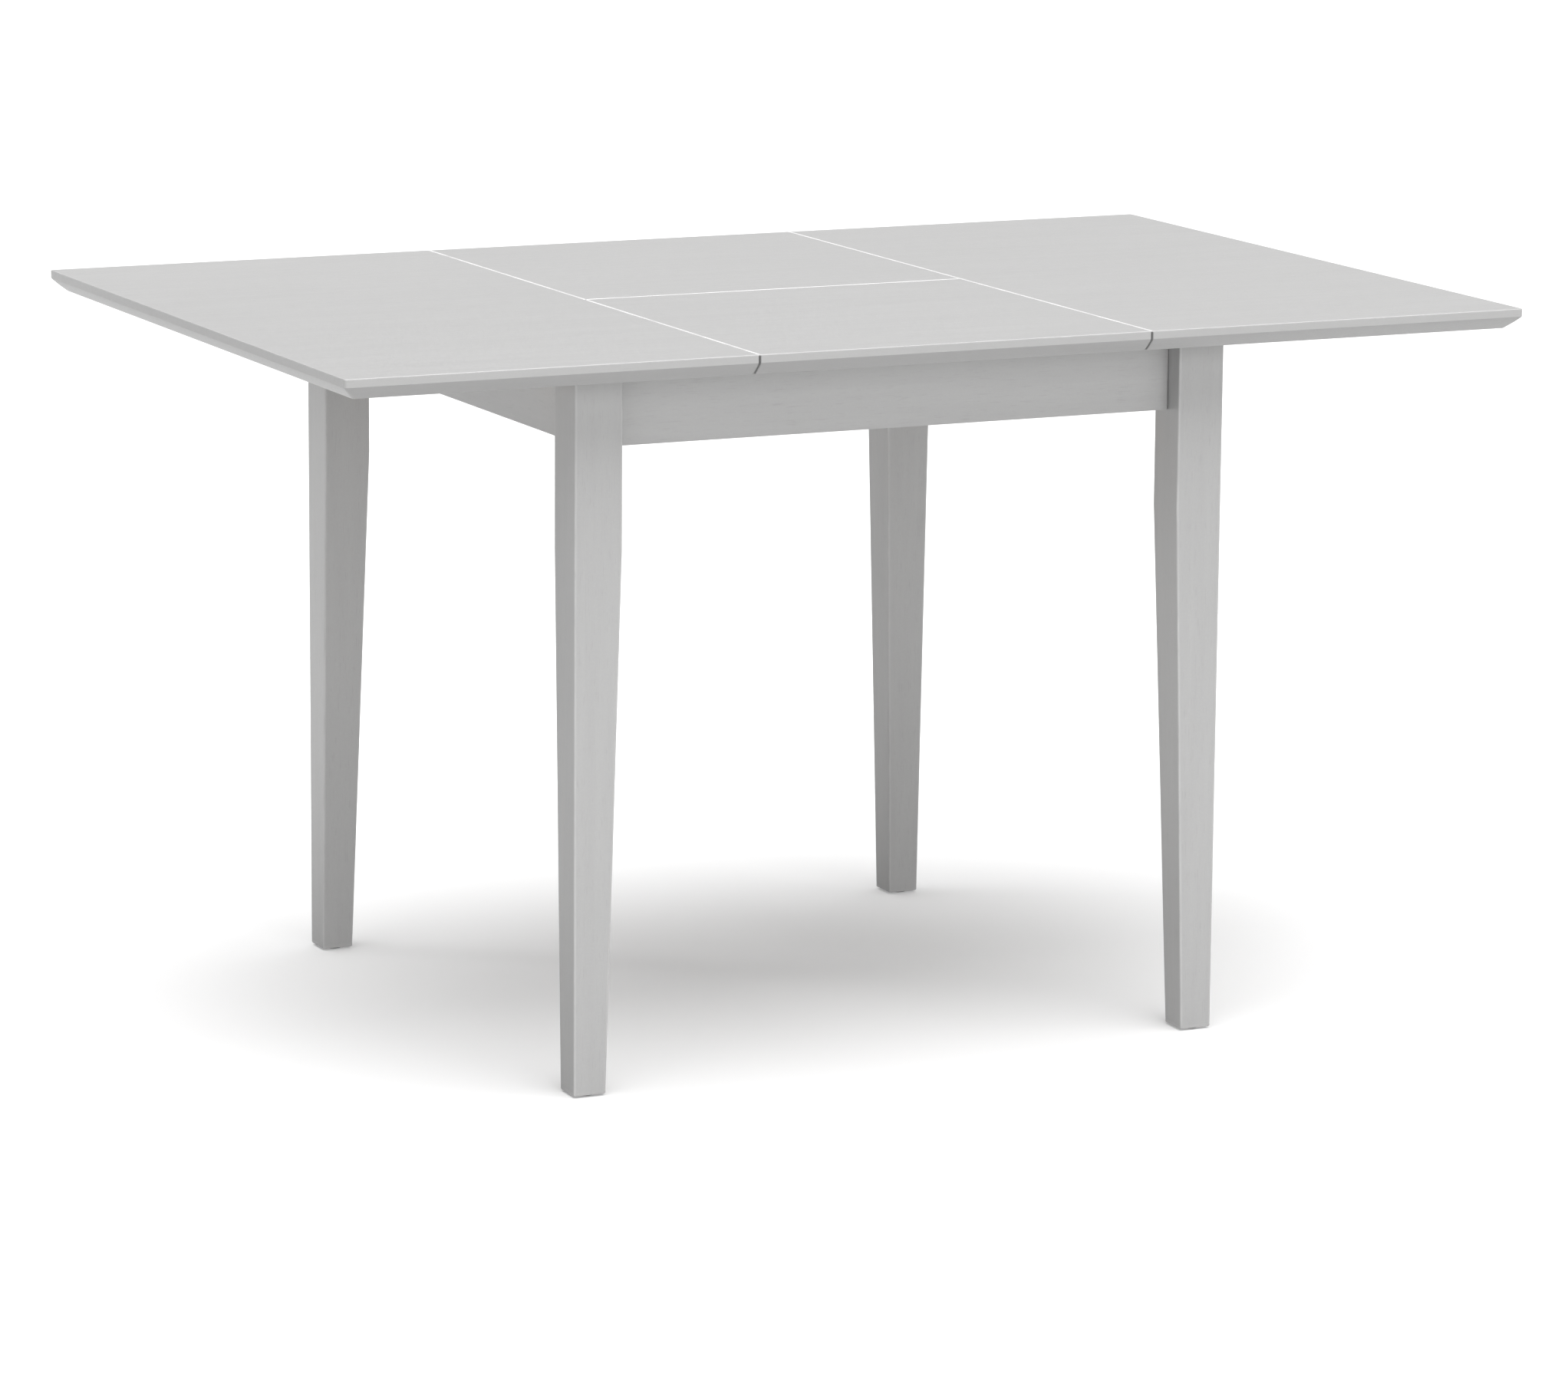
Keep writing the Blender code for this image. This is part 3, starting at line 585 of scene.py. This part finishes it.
def build_screw(side, depth, number):
    """A pan-head screw with a cross recess, its head downwards."""
    node = f"plate_screw_{side}_{depth}_{number}"
    low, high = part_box(node)
    head_r = (high.x - low.x) / 2
    head_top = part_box(f"leaf_plate_{side}_{depth}")[0].z
    profile = []
    for share in (0.06, 0.15, 0.24, 0.33, 0.42, 0.50, 0.58, 0.70, 0.85, 0.95, 1.0):
        profile.append((head_r * share, low.z + (head_top - low.z) * (1 - math.sqrt(1 - 0.9 * share ** 4))))
    loops = []
    for radius, height in profile:
        loop = []
        for step in range(ROUND):
            point = radius * heading(360 * (step + 0.5) / ROUND)
            in_cross = min(abs(point.x), abs(point.y)) < RECESS_W and radius < RECESS_R
            loop.append((point.x, point.y, height + (RECESS_DEEP if in_cross else 0.0)))
        loops.append(loop)
    for radius, height in ((head_r, head_top), (SCREW_R, head_top), (SCREW_R, high.z)):
        circle = [radius * heading(360 * (step + 0.5) / ROUND) for step in range(ROUND)]
        loops.append([(point.x, point.y, height) for point in circle])
    shape = mesh_from_rings(loops)
    middle = (low + high) / 2
    bmesh.ops.translate(shape, vec=Vector((middle.x, middle.y, 0.0)), verts=shape.verts)
    piece_from(f"{node}_pan_head", shape, STEEL, f"top_{side}", node)


# ---- CAD nodes that keep their shape ----
def give(node, material, width, segments=2):
    """Give a CAD node its material and round its edges a little."""
    body = NODES[node]
    body.data.materials.clear()
    body.data.materials.append(material)
    weld = body.modifiers.new("weld", "WELD")
    weld.merge_threshold = 0.00002
    bevel = body.modifiers.new("ease", "BEVEL")
    bevel.width = width
    bevel.segments = segments
    bevel.limit_method = "ANGLE"
    bevel.angle_limit = math.radians(50)


def build_frame():
    """Legs, aprons, braces, slides and fittings."""
    for seed, (name, axis) in enumerate((("front", 0), ("rear", 0), ("left", 1), ("right", 1)), 20):
        finish = lacquer(f"apron_{name}_lacquer", axis, seed, FRAME_TONE, APRON_RUB, square=True)
        give(f"apron_{name}", finish, 0.0012, 3)
    for seed, depth in enumerate(DEPTHS, 30):
        give(f"guide_beam_{depth}", beech(f"guide_{depth}_beech", 0, seed), 0.0006)
    for seed, side in enumerate(SIDES, 40):
        give(f"leaf_storage_rail_{side}", beech(f"storage_{side}_beech", 1, seed), 0.0010)
    seed = 50
    for depth in DEPTHS:
        for side in SIDES:
            seed += 1
            build_leg(depth, side, seed)
            build_bolt(depth, side)
            build_nut(depth, side)
            build_glide(depth, side)
            build_peg(side, depth)
            give(f"runner_{side}_{depth}", beech(f"runner_{side}_{depth}_beech", 0, seed), 0.0006)
            give(f"corner_block_{depth}_{side}", beech(f"brace_{depth}_{side}_beech", 0, seed + 10), 0.0010)
            give(f"leaf_plate_{side}_{depth}", STEEL, 0.0003)
            give(f"leaf_hinge_{depth}_{side}", BRASS, 0.0002)
            for number in (1, 2):
                build_screw(side, depth, number)


# ---- Stage ----
def light_at(name, kind, place, aim, energy):
    """A lamp that shines along a direction."""
    data = bpy.data.lights.new(name, kind)
    data.energy = energy
    lamp = bpy.data.objects.new(name, data)
    bpy.context.scene.collection.objects.link(lamp)
    turn = Vector(aim).to_track_quat("-Z", "Y").to_matrix().to_4x4()
    lamp.matrix_world = Matrix.Translation(place) @ turn
    return data


def build_stage():
    """Floor, lights and camera."""
    mesh = bpy.data.meshes.new("floor")
    plan = [(FLOOR_REACH * x, FLOOR_REACH * y, 0.0) for x, y in ((-1, -1), (1, -1), (1, 1), (-1, 1))]
    mesh.from_pydata(plan, [], [(0, 1, 2, 3)])
    mesh.materials.append(pale_floor())
    floor = bpy.data.objects.new("floor", mesh)
    bpy.context.scene.collection.objects.link(floor)

    world = bpy.data.worlds.new("studio")
    world.use_nodes = True
    background = world.node_tree.nodes["Background"]
    background.inputs["Color"].default_value = PALE
    background.inputs["Strength"].default_value = ROOM_GLOW
    bpy.context.scene.world = world

    light_at("overhead", "SUN", SUN_PLACE, (0.03, 0.14, -1.0), 5.9).angle = math.radians(74)
    light_at("front_fill", "SUN", SUN_PLACE, (-0.05, 1.0, -0.20), 1.5).angle = math.radians(40)
    corner = light_at("rear_left", "AREA", (-1.9, 1.5, 0.9), (1.5, -1.13, -0.5), 0.30)
    corner.size = 0.4
    corner.spread = math.radians(22)

    data = bpy.data.cameras.new("camera")
    data.lens = LENS
    data.sensor_width = 36.0
    camera = bpy.data.objects.new("camera", data)
    bpy.context.scene.collection.objects.link(camera)
    turn = Euler((math.radians(90 - CAMERA_DIP), 0.0, math.radians(-CAMERA_HEADING))).to_matrix().to_4x4()
    roll = Matrix.Rotation(math.radians(CAMERA_ROLL), 4, "Z")
    camera.matrix_world = Matrix.Translation(CAMERA_PLACE) @ turn @ roll
    bpy.context.scene.camera = camera
    bpy.context.scene.view_settings.view_transform = "Standard"


build_top()
build_frame()
build_stage()
